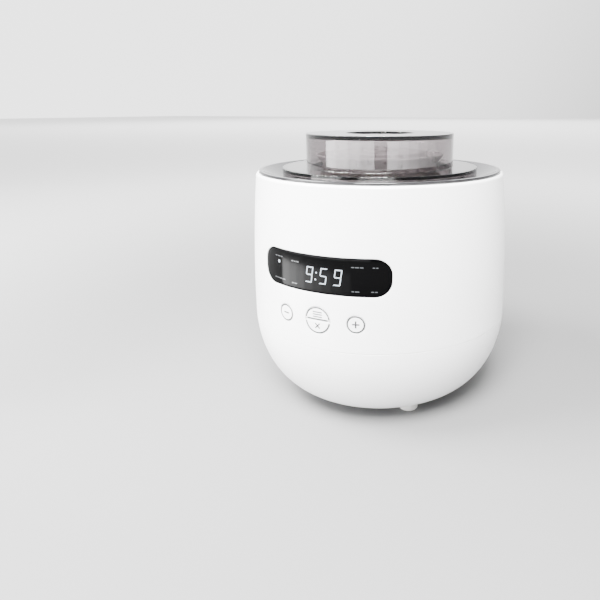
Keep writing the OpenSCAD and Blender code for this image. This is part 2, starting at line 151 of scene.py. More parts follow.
def window_outline(grow):
    """The window's outline, grown by a distance, with its straight sides divided."""
    r = WINDOW_CORNER + grow
    base = round_rect(WINDOW_W + 2 * grow, WINDOW_H + 2 * grow, r, 0, WINDOW_Z)
    points = len(base) // 4
    corners = [base[i * points:(i + 1) * points] for i in range(4)]
    upright, level = 8, 40
    out = []
    for i, n in enumerate((upright, level, upright, level)):
        out += corners[i]
        a, b = corners[i][-1], corners[(i + 1) % 4][0]
        out += [(a[0] + (b[0] - a[0]) * k / n, a[1] + (b[1] - a[1]) * k / n) for k in range(1, n)]
    return out


def disc_outline(cx, d):
    """A round outline as a function of how far it is grown."""
    last = 360 - 360 / DISC_SIDES
    return lambda grow: arc(cx, BUTTON_Z, d / 2 + grow, 0, last, DISC_SIDES - 1)


def half_outline(side, d, gap):
    """One half of a divided disc: side is 1 above the gap and -1 below it."""
    corner = 0.8 * MM

    def outline(grow):
        r = d / 2 + grow
        c = corner + grow
        low = gap / 2 - grow
        # the corner's circle touches the straight edge and the round edge
        cy = low + c
        cx = math.sqrt((r - c) ** 2 - cy * cy)
        lift = math.degrees(math.atan2(cy, cx))
        points = (
            arc(0, 0, r, lift, 180 - lift, 40)
            + arc(-cx, cy, c, 180 - lift, 270, 6)[1:]
            + [(-cx + 2 * cx * i / 16, low) for i in range(1, 16)]
            + arc(cx, cy, c, -90, lift, 6)[:-1]
        )
        points = [(x, BUTTON_Z + side * z) for x, z in points]
        return points if side > 0 else points[::-1]

    return outline


def fillet(corners, steps=5):
    """A closed outline from (x, y, radius) corners, each rounded by its radius."""
    out = []
    count = len(corners)
    for i, (x, y, radius) in enumerate(corners):
        here = Vector((x, y))
        if radius <= 0:
            out.append((x, y))
            continue
        before = Vector(corners[i - 1][:2]) - here
        after = Vector(corners[(i + 1) % count][:2]) - here
        before.normalize()
        after.normalize()
        half = before.angle(after) / 2
        reach = radius / math.tan(half)
        middle = here + (before + after).normalized() * (radius / math.sin(half))
        first = here + before * reach - middle
        last = here + after * reach - middle
        swing = first.angle(last)
        for k in range(steps + 1):
            t = k / steps
            a = math.sin((1 - t) * swing) / math.sin(swing)
            b = math.sin(t * swing) / math.sin(swing)
            out.append(tuple(middle + first * a + last * b))
    return out


def braced(outline):
    """The outline with a point near each end of its longer sides, so that they shade flat."""
    longer, reach = 0.8 * MM, 0.15 * MM
    out = []
    for here, there in zip(outline, outline[1:]):
        out.append(here)
        side = Vector(there) - Vector(here)
        if side.length > longer:
            step = side.normalized() * reach
            out += [tuple(Vector(here) + step), tuple(Vector(there) - step)]
    return out + outline[-1:]


# ---------------------------------------------------------------- mesh building

def ring(bm, r, z):
    """A ring of points about Z, or one point on the axis."""
    if r < 1e-7:
        return [bm.verts.new((0, 0, z))]
    return [bm.verts.new(turned(r, z, 2 * math.pi * c / COLUMNS)) for c in range(COLUMNS)]


def revolve(bm, outline):
    """Adds the closed solid that the outline of (r, z) points sweeps about Z."""
    rings = [ring(bm, r, z) for r, z in outline]
    for a, b in zip(rings, rings[1:] + rings[:1]):
        bridge(bm, a, b)


def bridge(bm, a, b):
    """Joins two rings of points, either of which may be one point on the axis."""
    if len(a) == 1 and len(b) == 1:
        return
    count = max(len(a), len(b))
    for c in range(count):
        d = (c + 1) % count
        if len(a) == 1:
            bm.faces.new((a[0], b[c], b[d]))
        elif len(b) == 1:
            bm.faces.new((a[c], b[0], a[d]))
        else:
            bm.faces.new((a[c], b[c], b[d], a[d]))


def inside(point, outline):
    """Whether a flat point lies inside a closed outline."""
    x, y = point
    odd = False
    for (x0, y0), (x1, y1) in zip(outline, outline[1:] + outline[:1]):
        if (y0 > y) != (y1 > y) and x < (x1 - x0) * (y - y0) / (y1 - y0) + x0:
            odd = not odd
    return odd


def near(point, outline, reach):
    """Whether a flat point is within reach of a corner of the outline."""
    x, y = point
    return any((x - a) ** 2 + (y - b) ** 2 < reach * reach for a, b in outline)


def fill(bm, border, holes, spacing, place):
    """Triangles between a border and its holes. Each loop is a list of (flat point, vertex).
    Points spacing apart are added between them, and place gives each its position."""
    flat_border = [p for p, v in border]
    flat_holes = [[p for p, v in hole] for hole in holes]
    points, verts, edges = [], [], []
    for loop in [border] + holes:
        first = len(points)
        for i, (p, v) in enumerate(loop):
            points.append(Vector(p))
            verts.append(v)
            edges.append((first + i, first + (i + 1) % len(loop)))
    xs = [p[0] for p in flat_border]
    ys = [p[1] for p in flat_border]
    across = max(2, round((max(xs) - min(xs)) / spacing))
    up = max(2, round((max(ys) - min(ys)) / spacing))
    for i in range(1, across):
        for j in range(1, up):
            shift = 0.5 if j % 2 else 0.0
            p = (min(xs) + (max(xs) - min(xs)) * (i + shift) / across,
                 min(ys) + (max(ys) - min(ys)) * j / up)
            if not inside(p, flat_border) or near(p, flat_border, spacing * 0.6):
                continue
            if any(inside(p, h) or near(p, h, spacing * 0.6) for h in flat_holes):
                continue
            points.append(Vector(p))
            verts.append(bm.verts.new(place(*p)))
    # kind 1 drops what lies outside the border, and kind 0 keeps it all, for the test below
    kind = 0 if holes else 1
    out, _, faces, origin, _, _ = delaunay_2d_cdt(points, edges, [], kind, 1e-9)
    for face in faces:
        middle = sum((out[i] for i in face), Vector((0, 0))) / len(face)
        if holes and (
                not inside(middle, flat_border) or any(inside(middle, h) for h in flat_holes)):
            continue
        corners = [verts[origin[i][0]] for i in face]
        if len(set(corners)) == 3:
            bm.faces.new(corners)


def front_loop(bm, outline, depth):
    """A loop of vertices on the front wall, with their flat points."""
    return [(p, bm.verts.new(on_front(*p, depth))) for p in outline]


def join_loops(bm, loops):
    """Joins each loop of (flat point, vertex) to the next."""
    for a, b in zip(loops, loops[1:]):
        bridge(bm, [v for p, v in a], [v for p, v in b])


def plug(bm, outline, top, bottom, edge, spacing=2 * MM):
    """A solid whose face follows the front wall at depth top, with rounded edges.
    outline gives the flat outline for a growth, and bottom is the depth of its back."""
    loops = []
    for i in range(EDGE_STEPS + 1):
        t = math.pi / 2 * i / EDGE_STEPS
        loops.append(front_loop(
            bm, outline(-edge * (1 - math.sin(t))), top + edge * (1 - math.cos(t))))
    loops.append(front_loop(bm, outline(0), bottom))
    join_loops(bm, loops)
    fill(bm, loops[0], [], spacing, lambda x, z: on_front(x, z, top))
    fill(bm, loops[-1], [], spacing, lambda x, z: on_front(x, z, bottom))


def make_object(name, bm, materials, sharp=35):
    """Turns the mesh under construction into an object with outward, smooth faces."""
    bmesh.ops.recalc_face_normals(bm, faces=bm.faces)
    mesh = bpy.data.meshes.new(name)
    bm.to_mesh(mesh)
    bm.free()
    for m in materials:
        mesh.materials.append(m)
    mesh.shade_smooth()
    mesh.set_sharp_from_angle(angle=math.radians(sharp))
    obj = bpy.data.objects.new(name, mesh)
    bpy.context.scene.collection.objects.link(obj)
    return obj


def piece(name, bm, material, body, replaced=(), sharp=35):
    """A finished piece that rides on a body and may stand for CAD nodes."""
    obj = make_object(name, bm, [material], sharp)
    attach(obj, body)
    if replaced:
        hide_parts(*replaced)
    return obj


def boolean(obj, cutter, operation):
    """Cuts or joins obj with cutter, and removes the cutter."""
    mod = obj.modifiers.new("cut", "BOOLEAN")
    mod.operation = operation
    mod.solver = "EXACT"
    mod.object = cutter
    bpy.context.view_layer.update()
    graph = bpy.context.evaluated_depsgraph_get()
    done = bpy.data.meshes.new_from_object(obj.evaluated_get(graph))
    obj.modifiers.clear()
    old = obj.data
    obj.data = done
    bpy.data.meshes.remove(old)
    bpy.data.objects.remove(cutter)


# ---------------------------------------------------------------- materials

def map_range(tree, source, first, last, low, high, kind="LINEAR"):
    """The source's values from first to last, spread from low to high."""
    node = tree.nodes.new("ShaderNodeMapRange")
    node.interpolation_type = kind
    for key, value in (("From Min", first), ("From Max", last), ("To Min", low), ("To Max", high)):
        node.inputs[key].default_value = value
    tree.links.new(source, node.inputs["Value"])
    return node.outputs["Result"]


class Shader:
    """A Principled material whose colour, roughness and bump come from its nodes."""

    def __init__(self, name, colour, rough, **sockets):
        self.material = bpy.data.materials.new(name)
        self.material.use_nodes = True
        self.tree = self.material.node_tree
        self.shader = self.tree.nodes["Principled BSDF"]
        self.colour = colour
        self.rough = rough
        self.set("Base Color", (*colour, 1))
        self.set("Roughness", rough)
        for key, value in sockets.items():
            self.set(key.replace("_", " "), value)
        self.place = self.node("ShaderNodeTexCoord").outputs["Object"]

    def set(self, socket, value):
        self.shader.inputs[socket].default_value = value

    def node(self, kind, **values):
        node = self.tree.nodes.new(kind)
        for key, value in values.items():
            setattr(node, key, value)
        return node

    def link(self, a, b):
        self.tree.links.new(a, b)

    def noise(self, scale, detail=3.0, rough=0.5, stretch=None):
        """A noise pattern, scale in cycles per metre, optionally stretched."""
        node = self.node("ShaderNodeTexNoise")
        node.inputs["Scale"].default_value = scale
        node.inputs["Detail"].default_value = detail
        node.inputs["Roughness"].default_value = rough
        source = self.place
        if stretch:
            mapping = self.node("ShaderNodeMapping")
            mapping.inputs["Scale"].default_value = stretch
            self.link(source, mapping.inputs["Vector"])
            source = mapping.outputs["Vector"]
        self.link(source, node.inputs["Vector"])
        return node.outputs["Fac"]

    def vary_colour(self, pattern, amount):
        """Lets the pattern darken and lighten the base colour by amount."""
        ramp = self.node("ShaderNodeValToRGB")
        low, high = ramp.color_ramp.elements
        low.position, high.position = 0.3, 0.7
        low.color = (*[c * (1 - amount) for c in self.colour], 1)
        high.color = (*[min(1, c * (1 + amount)) for c in self.colour], 1)
        self.link(pattern, ramp.inputs["Fac"])
        self.link(ramp.outputs["Color"], self.shader.inputs["Base Color"])
        return self

    def vary_rough(self, pattern, amount):
        """Lets the pattern move the roughness up and down by amount."""
        span = map_range(self.tree, pattern, 0.3, 0.7, max(0.0, self.rough - amount),
                         min(1.0, self.rough + amount))
        self.link(span, self.shader.inputs["Roughness"])
        return self

    def bump(self, pattern, height):
        """Raises the surface by the pattern, height in metres."""
        node = self.node("ShaderNodeBump")
        node.inputs["Distance"].default_value = height
        node.inputs["Strength"].default_value = 1.0
        self.link(pattern, node.inputs["Height"])
        self.link(node.outputs["Normal"], self.shader.inputs["Normal"])
        return self

    def absorb(self, colour, density):
        """Tints the light that travels inside the solid."""
        node = self.node("ShaderNodeVolumeAbsorption")
        node.inputs["Color"].default_value = (*colour, 1)
        node.inputs["Density"].default_value = density
        output = self.tree.nodes["Material Output"]
        self.link(node.outputs["Volume"], output.inputs["Volume"])
        return self


def moulded(name, colour, rough, vary=0.02, grain=900, height=2e-6, uneven=0.25):
    """Moulded plastic: faint flow marks, a soft grain and slightly uneven gloss."""
    s = Shader(name, colour, rough)
    s.vary_colour(s.noise(35, 4), vary)
    s.vary_rough(s.noise(220, 5), rough * uneven)
    s.bump(s.noise(grain, 3), height)
    return s.material


def drawn_metal(name, colour, rough, stretch, grain=900, height=4e-6):
    """Metal with fine lines along its working direction."""
    s = Shader(name, colour, rough, Metallic=1.0)
    lines = s.noise(grain, 4, 0.6, stretch)
    s.vary_colour(lines, 0.12)
    s.vary_rough(lines, rough * 0.35)
    s.bump(lines, height)
    return s.material


def clear(name, colour, rough, ior, absorb_colour, density, clarity=1.0):
    """Clear plastic or glass that tints light by the depth it crosses."""
    s = Shader(name, colour, rough, IOR=ior)
    s.set("Transmission Weight", clarity)
    s.vary_rough(s.noise(150, 4), rough * 0.6)
    s.bump(s.noise(60, 2), 4e-6)
    return s.absorb(absorb_colour, density).material


def circuit_board(name, colour):
    """Solder mask over copper tracks, with pale dots where the pads are."""
    s = Shader(name, colour, 0.35)
    tracks = s.node("ShaderNodeTexBrick")
    tracks.inputs["Scale"].default_value = 160
    tracks.inputs["Mortar Size"].default_value = 0.06
    tracks.inputs["Color1"].default_value = (*colour, 1)
    tracks.inputs["Color2"].default_value = (*[c * 0.8 for c in colour], 1)
    tracks.inputs["Mortar"].default_value = (*[min(1, c * 1.5 + 0.03) for c in colour], 1)
    turn = s.node("ShaderNodeMapping")
    turn.inputs["Rotation"].default_value = (math.radians(90), 0, 0)
    s.link(s.place, turn.inputs["Vector"])
    s.link(turn.outputs["Vector"], tracks.inputs["Vector"])
    s.link(tracks.outputs["Color"], s.shader.inputs["Base Color"])
    s.bump(tracks.outputs["Fac"], 3e-5)
    return s.material


def glowing(name, colour, strength):
    """A lit segment under a clear face, slightly uneven in brightness."""
    s = Shader(name, [0.01 * c for c in colour], 0.25)
    s.set("Emission Color", (*colour, 1))
    span = map_range(s.tree, s.noise(900, 2), 0, 1, strength * 0.9, strength * 1.1)
    s.link(span, s.shader.inputs["Emission Strength"])
    return s.material


WHITE = moulded(
    "housing_white_abs", (0.80, 0.80, 0.80), 0.3, vary=0.006, height=2e-7, uneven=0.06)
BUTTON_WHITE = moulded(
    "button_white_abs", (0.79, 0.79, 0.79), 0.33, vary=0.006, height=2e-7, uneven=0.06)
RUBBER = moulded("foot_rubber", (0.62, 0.62, 0.6), 0.75, vary=0.05, grain=1500, height=2e-5)
DECK = moulded("deck_smoked_gloss", (0.03, 0.03, 0.032), 0.1, vary=0.02, height=2e-7)
DECK_EDGE = moulded("deck_edge_dark", (0.006, 0.006, 0.007), 0.12, vary=0.02, height=2e-7)
BLACK = moulded("window_black_gloss", (0.0001, 0.0001, 0.0002), 0.1, vary=0.1, height=1e-7)
# a weak reflection keeps the window as deep a black as in the picture
BLACK.node_tree.nodes["Principled BSDF"].inputs["Specular IOR Level"].default_value = 0.045
SMOKE = clear("cover_smoked", (1.0, 0.985, 0.99), 0.02, 1.49, (0.12, 0.05, 0.07), 290)
GLASS = clear("jar_glass", (1, 1, 1), 0.01, 1.5, (0.55, 0.9, 0.8), 25)
CAP = clear("cap_frosted_pp", (0.66, 0.63, 0.63), 0.35, 1.45, (0.6, 0.5, 0.5), 15, clarity=0.4)
SILICONE = moulded("silicone", (0.75, 0.75, 0.73), 0.5, vary=0.03)
STEEL = drawn_metal("zinc_steel", (0.6, 0.6, 0.61), 0.3, (1, 1, 1))
SPRING = drawn_metal("spring_steel", (0.55, 0.55, 0.57), 0.28, (1, 8, 1))
POT = drawn_metal("pot_aluminium", (0.8, 0.8, 0.81), 0.3, (1, 1, 30), grain=300)
HEATER = moulded("heater_silicone", (0.62, 0.2, 0.06), 0.6, vary=0.08, grain=500, height=4e-5)
EPOXY = moulded("sensor_epoxy", (0.75, 0.7, 0.6), 0.45, vary=0.06)
GREY = moulded("gland_nylon", (0.62, 0.62, 0.61), 0.45, vary=0.03)
BOARD = circuit_board("board_green", (0.03, 0.16, 0.07))
PHENOLIC = circuit_board("board_brown", (0.3, 0.17, 0.06))
PART_BLACK = moulded("component_black", (0.02, 0.02, 0.022), 0.4, vary=0.1)
PART_WHITE = moulded("led_lens", (0.85, 0.85, 0.8), 0.3, vary=0.03)
PART_BLUE = moulded("relay_blue", (0.03, 0.12, 0.4), 0.35, vary=0.05)
PART_GREEN = moulded("terminal_green", (0.04, 0.32, 0.1), 0.4, vary=0.05)
RIBBON = moulded("ribbon_grey", (0.55, 0.54, 0.5), 0.5, vary=0.05)
LIT = glowing("digit_light", (0.80, 0.90, 1.0), 3.0)
PRINT = moulded("print_grey", (0.008, 0.008, 0.009), 0.45, vary=0.04)
# painted light: the labels' grey print is a faint glow of its own, not lit by the lamps
LABEL_PAINTED_GLOW = glowing("label_print_painted_glow", (0.80, 0.9, 1.0), 0.14)


# ---------------------------------------------------------------- camera

CAMERA_AZIMUTH = math.radians(24.3)
CAMERA_PITCH = math.radians(14)
CAMERA_AWAY = 379.6 * MM
CAMERA_UP = 201.5 * MM
CAMERA_LENS = 31.45
CAMERA_SHIFT = (-0.133, -0.1005)


def make_camera():
    data = bpy.data.cameras.new("camera")
    data.sensor_width = 36
    data.lens = CAMERA_LENS
    data.shift_x, data.shift_y = CAMERA_SHIFT
    data.clip_start = 0.01
    data.dof.use_dof = False
    obj = bpy.data.objects.new("camera", data)
    bpy.context.scene.collection.objects.link(obj)
    a, p = CAMERA_AZIMUTH, CAMERA_PITCH
    obj.location = (CAMERA_AWAY * math.sin(a), -CAMERA_AWAY * math.cos(a), CAMERA_UP)
    look = Vector((-math.sin(a) * math.cos(p), math.cos(a) * math.cos(p), -math.sin(p)))
    obj.rotation_mode = "QUATERNION"
    obj.rotation_quaternion = look.to_track_quat("-Z", "Y")
    bpy.context.scene.camera = obj


# ---------------------------------------------------------------- housing

# The front of the wall, where triangles fit round the openings instead of the even grid:
# how far it goes under the keys and over the window, its half width in columns, and the
# spacing of its points
PATCH_BELOW = 13 * MM
PATCH_ABOVE = 18 * MM
PATCH_COLUMNS = 26
PATCH_SPACING = 2.2 * MM


def patch_rows(rows):
    """The first and last row of the front patch."""
    low = max(i for i, z in enumerate(rows) if z < BUTTON_Z - PATCH_BELOW)
    high = min(i for i, z in enumerate(rows) if z > WINDOW_Z + PATCH_ABOVE)
    return low, high


def wall_sheet(bm, depth, rows, holes):
    """The upper wall at a depth, with holes in its front. Returns its bottom and top rings.
    holes are loops of (flat point, vertex), flat points being arc length and height."""
    low, high = patch_rows(rows)
    n = PATCH_COLUMNS
    step = 2 * math.pi / COLUMNS

    def in_patch(row, column):
        away = column if column <= COLUMNS / 2 else column - COLUMNS
        return low < row < high and abs(away) < n

    grid = []
    for i, z in enumerate(rows):
        r = wall_radius(z) - depth
        grid.append([
            None if in_patch(i, c) else bm.verts.new(turned(r, z, step * c))
            for c in range(COLUMNS)
        ])
    for i in range(len(rows) - 1):
        for c in range(COLUMNS):
            d = (c + 1) % COLUMNS
            middle = c + 0.5 if c < COLUMNS / 2 else c + 0.5 - COLUMNS
            if low <= i < high and abs(middle) < n:
                continue
            bm.faces.new((grid[i][c], grid[i][d], grid[i + 1][d], grid[i + 1][c]))

    def flat(row, column):
        return (BODY_R * step * column, rows[row])

    around = (
        [(low, c) for c in range(-n, n)]
        + [(r, n) for r in range(low, high)]
        + [(high, c) for c in range(n, -n, -1)]
        + [(r, -n) for r in range(high, low, -1)]
    )
    border = [(flat(r, c), grid[r][c % COLUMNS]) for r, c in around]
    fill(bm, border, holes, PATCH_SPACING,
         lambda s, z: turned(wall_radius(z) - depth, z, s / BODY_R))
    return grid[0], grid[-1]


def unrolled(loop, depth):
    """Gives a loop's flat points as arc length and height."""
    return [
        ((BODY_R * math.asin(x / (wall_radius(z) - depth)), z), v) for (x, z), v in loop
    ]


def make_upper_housing():
    bm = bmesh.new()
    count = 42
    first = SEAM_Z + SEAM_EDGE
    last = TOP_Z - SHOULDER_R
    rows = [first + (last - first) * i / count for i in range(count + 1)]
    outer_holes, inner_holes = [], []

    def cut(outline, lip, steps):
        """One opening: its lip is rounded, then steps are (growth, depth) down the hole."""
        loops = []
        for i in range(EDGE_STEPS + 1):
            t = math.pi / 2 * i / EDGE_STEPS
            loops.append(front_loop(
                bm, outline(lip * (1 - math.sin(t))), lip * (1 - math.cos(t))))
        for grow, depth in steps:
            loops.append(front_loop(bm, outline(grow), depth))
        join_loops(bm, loops)
        outer_holes.append(unrolled(loops[0], 0))
        inner_holes.append(unrolled(loops[-1], WALL))

    # the window stands on a ledge inside a frame that is moulded behind the wall
    seat = WINDOW_REVEAL + WINDOW_T + 0.02 * MM
    back = WALL + 2.5 * MM
    gap, ledge_w, frame_w = 0.15 * MM, 2.6 * MM, 4 * MM
    cut(lambda grow: window_outline(gap + grow), 0.35 * MM, [
        (0, seat), (-ledge_w, seat), (-ledge_w, back), (frame_w, back), (frame_w, WALL)])
    key_lip = 0.25 * MM
    cut(disc_outline(0, BIG_BUTTON_D), key_lip, [(0, WALL)])
    for x in (-BUTTON_X, BUTTON_X):
        cut(disc_outline(x, SMALL_BUTTON_D), key_lip, [(0, WALL)])

    bottom, top = wall_sheet(bm, 0, rows, outer_holes)
    inner_last = TOP_Z - 7 * MM
    inner_rows = [SEAM_Z + (inner_last - SEAM_Z) * i / count for i in range(count + 1)]
    inner_bottom, inner_top = wall_sheet(bm, WALL, inner_rows, inner_holes)

    def chain(rings):
        for a, b in zip(rings, rings[1:]):
            bridge(bm, a, b)

    chain([bottom, ring(bm, wall_radius(SEAM_Z) - SEAM_EDGE, SEAM_Z), inner_bottom])
    shoulder = arc(wall_radius(last) - SHOULDER_R, last, SHOULDER_R, 0, 90, 8)[1:]
    ledge = DECK_Z - LEDGE_DROP
    lip_r = DECK_R + 0.1 * MM
    rim = [
        (lip_r + 0.2 * MM, TOP_Z), (lip_r, TOP_Z - 0.2 * MM), (lip_r, ledge),
        (DECK_R - 6 * MM, ledge), (DECK_R - 6 * MM, ledge - WALL),
        (wall_radius(ledge) - WALL, ledge - WALL),
    ]
    chain([top] + [ring(bm, r, z) for r, z in shoulder + rim] + [inner_top])
    piece("upper_housing_shell", bm, WHITE, "housing", ["upper_housing"])


def bowl_curve(depth, first_z, steps):
    """Points of the bowl's section from first_z down to the flat underside."""
    height = BELLY_Z - BASE_Z - depth
    start = math.asin((BELLY_Z - first_z) / height)
    return [
        (BASE_R + (BODY_R - BASE_R - depth) * math.cos(a), BELLY_Z - height * math.sin(a))
        for a in (start + (math.pi / 2 - start) * i / steps for i in range(steps + 1))
    ]


def cylinder(bm, start, end, radius, sides=48):
    """A plain closed cylinder between two points, used for cutting and joining."""
    start, end = Vector(start), Vector(end)
    axis = (end - start).normalized()
    across = axis.orthogonal().normalized()
    other = axis.cross(across)
    rings = []
    for centre in (start, end):
        rings.append([
            bm.verts.new(centre + radius * (math.cos(a) * across + math.sin(a) * other))
            for a in (2 * math.pi * i / sides for i in range(sides))
        ])
    bridge(bm, *rings)
    bm.faces.new(rings[0])
    bm.faces.new(rings[1])


def corner_angles():
    return [math.radians(a) for a in (45, 135, 225, 315)]


# Under and behind the bowl
GLAND_FLANGE_T = 2.4 * MM
GLAND_FLANGE_R = 7.8 * MM
GLAND_HOLE_R = 5.5 * MM
PAD_R = 9 * MM
PAD_DEEP = 9 * MM
FOOT_R = 6.5 * MM
FOOT_SOCKET_R = 6.6 * MM
FOOT_SOCKET_Z = 7 * MM
SCREW_AT = 68.5 * MM
SCREW_WELL_R = 3.4 * MM
SCREW_WELL_Z = 40 * MM
VENTS = 12
VENT_AT = 31 * MM
VENT_L = 18 * MM
VENT_W = 2 * MM


def make_lower_housing():
    bm = bmesh.new()
    seam_r = wall_radius(SEAM_Z)
    outer = bowl_curve(0, SEAM_Z - BOWL_EDGE, 40)
    inner = bowl_curve(WALL, SEAM_Z - 6 * MM, 30)
    tongue = [
        (seam_r - WALL - 1.6 * MM, bowl_hi.z), (seam_r - WALL - 0.1 * MM, bowl_hi.z),
        (seam_r - WALL - 0.1 * MM, SEAM_Z), (seam_r - BOWL_EDGE, SEAM_Z),
    ]
    revolve(bm, tongue + outer + [(0, BASE_Z), (0, BASE_Z + WALL)] + inner[::-1])
    obj = piece("lower_housing_bowl", bm, WHITE, "housing", ["lower_housing"])
    # a flat pad for the gland, its through hole, and room for its flange
    pad = bmesh.new()
    gland_z = (gland_lo.z + gland_hi.z) / 2
    pad_y = gland_hi.y - GLAND_FLANGE_T
    cylinder(pad, (0, pad_y - PAD_DEEP, gland_z), (0, pad_y, gland_z), PAD_R, 64)
    boolean(obj, make_object("pad", pad, []), "UNION")
    # one after the other, because a cutter that crosses itself cuts wrongly
    for start_y, r in ((60 * MM, GLAND_HOLE_R), (pad_y, GLAND_FLANGE_R)):
        hole = bmesh.new()
        cylinder(hole, (0, start_y, gland_z), (0, 100 * MM, gland_z), r)
        boolean(obj, make_object("hole", hole, []), "DIFFERENCE")
    # sockets for the feet and wells for the screws
    cuts = bmesh.new()
    _, foot_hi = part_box("feet")
    foot_at = (foot_hi.x - FOOT_R) * math.sqrt(2)
    for a in corner_angles():
        for away, r, top in (
                (foot_at, FOOT_SOCKET_R, FOOT_SOCKET_Z), (SCREW_AT, SCREW_WELL_R, SCREW_WELL_Z)):
            x, y = away * math.cos(a), away * math.sin(a)
            cylinder(cuts, (x, y, -5 * MM), (x, y, top), r)
    boolean(obj, make_object("cuts", cuts, []), "DIFFERENCE")
    # vent slots
    slots = bmesh.new()
    outline = round_rect(VENT_L, VENT_W, 0.95 * MM, VENT_AT, 0, 6)
    for i in range(VENTS):
        turn = Matrix.Rotation(math.radians(360 / VENTS * i), 4, "Z")
        rings = [
            [slots.verts.new(turn @ Vector((x, y, z))) for x, y in outline]
            for z in (BASE_Z - 1 * MM, BASE_Z + 4 * MM)
        ]
        bridge(slots, *rings)
        for r in rings:
            slots.faces.new(r)
    boolean(obj, make_object("slots", slots, []), "DIFFERENCE")
    if not obj.data.materials:
        obj.data.materials.append(WHITE)
    obj.data.shade_smooth()
    obj.data.set_sharp_from_angle(angle=math.radians(30))


def prism_y(name, outline, y0, y1):
    """A solid of a flat outline between two depths along Y, used for joining."""
    bm = bmesh.new()
    rings = [[bm.verts.new((x, y, z)) for x, z in outline] for y in (y0, y1)]
    bridge(bm, *rings)
    for r in rings:
        bm.faces.new(r)
    return make_object(name, bm, [])


# How far each stem reaches past its flange
STEM_OUT = {
    "button_minus": 0.2 * MM, "button_plus": 0.2 * MM,
    "button_menu": 5.0 * MM, "button_cancel": 5.0 * MM,
}


def make_button(name, outline, middle_x, middle_z, face_depth):
    """A button: its face follows the wall, and a flange and a stem are behind it."""
    _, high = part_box(name)
    flange_t, flange_over, stem_r = 1.2 * MM, 1.2 * MM, 2 * MM
    flange_y = high.y - STEM_OUT[name] - flange_t
    bm = bmesh.new()
    plug(bm, outline, 0, face_depth, 0.3 * MM, 1.2 * MM)
    cap = piece(name + "_cap", bm, BUTTON_WHITE, name, [name])
    flange = prism_y("flange", outline(flange_over), flange_y, flange_y + flange_t)
    boolean(cap, flange, "UNION")
    stem = bmesh.new()
    cylinder(stem, (middle_x, flange_y + 0.4 * MM, middle_z), (middle_x, high.y, middle_z), stem_r)
    boolean(cap, make_object("stem", stem, []), "UNION")
    cap.data.shade_smooth()
    cap.data.set_sharp_from_angle(angle=math.radians(35))


def button_outlines():
    """The outline of each button's face, as a function of how far it is grown."""
    small, big = SMALL_BUTTON_D - 2 * BUTTON_GAP, BIG_BUTTON_D - 2 * BUTTON_GAP
    return {
        "button_minus": disc_outline(-BUTTON_X, small),
        "button_plus": disc_outline(BUTTON_X, small),
        "button_menu": half_outline(1, big, BUTTON_GAP),
        "button_cancel": half_outline(-1, big, BUTTON_GAP),
    }


def make_buttons():
    outlines = button_outlines()
    stem_z = BIG_BUTTON_D / 4
    for name, x, z, deep in (
        ("button_minus", -BUTTON_X, BUTTON_Z, 5.6 * MM),
        ("button_plus", BUTTON_X, BUTTON_Z, 5.6 * MM),
        ("button_menu", 0, BUTTON_Z + stem_z, 4 * MM),
        ("button_cancel", 0, BUTTON_Z - stem_z, 4 * MM),
    ):
        make_button(name, outlines[name], x, z, deep)


# ---------------------------------------------------------------- window and its signs

def make_window():
    bm = bmesh.new()
    plug(bm, window_outline, WINDOW_REVEAL, WINDOW_REVEAL + WINDOW_T, 0.25 * MM)
    piece("display_window_pane", bm, BLACK, "housing", ["display_window"])


def inlay(bm, outline, top, thickness=0.15 * MM):
    """A thin sign whose face follows the front wall at depth top."""
    outline = spread(outline, 0.8 * MM)
    face = front_loop(bm, outline, top)
    back = front_loop(bm, outline, top + thickness)
    join_loops(bm, [face, back])
    fill(bm, face, [], 2 * MM, lambda x, z: on_front(x, z, top))
    fill(bm, back, [], 2 * MM, lambda x, z: on_front(x, z, top + thickness))


def bar(cx, cz, w, h):
    """A small bar with nearly round ends."""
    return round_rect(w, h, min(w, h) / 2.1, cx, cz, 4)


DIGIT_H = 9.8 * MM
DIGIT_W = 4.6 * MM
DIGIT_DROP = 0.6 * MM
SEGMENT_T = 0.6 * MM
SEGMENT_GAP = 0.07 * MM
SLANT = math.tan(math.radians(8))
SEGMENTS = {"5": "acdfg", "9": "abcdfg"}


def segment_outline(letter):
    """One of the seven segments, about the digit's middle, with mitred ends."""
    t = SEGMENT_T / 2
    half_w, half_h = DIGIT_W / 2 - t, DIGIT_H / 2 - t
    gap = SEGMENT_GAP
    level = {"a": half_h, "g": 0, "d": -half_h}
    if letter == "g":
        x = half_w - gap
        return [(-x, 0), (-x + t, -t), (x - t, -t), (x, 0), (x - t, t), (-x + t, t)]
    if letter in level:
        # the outer side is the long one, so that the corners look square
        z, side, x = level[letter], math.copysign(t, level[letter]), half_w - gap
        return [(-x - t, z + side), (-x + t, z - side), (x - t, z - side), (x + t, z + side)]
    side = t if letter in "bc" else -t
    x = half_w if letter in "bc" else -half_w
    if letter in "bf":
        return [(x, gap), (x + side, gap + t), (x + side, half_h + t - gap),
                (x - side, half_h - t - gap), (x - side, gap + t)]
    return [(x, -gap), (x + side, -gap - t), (x + side, -half_h - t + gap),
            (x - side, -half_h + t + gap), (x - side, -gap - t)]


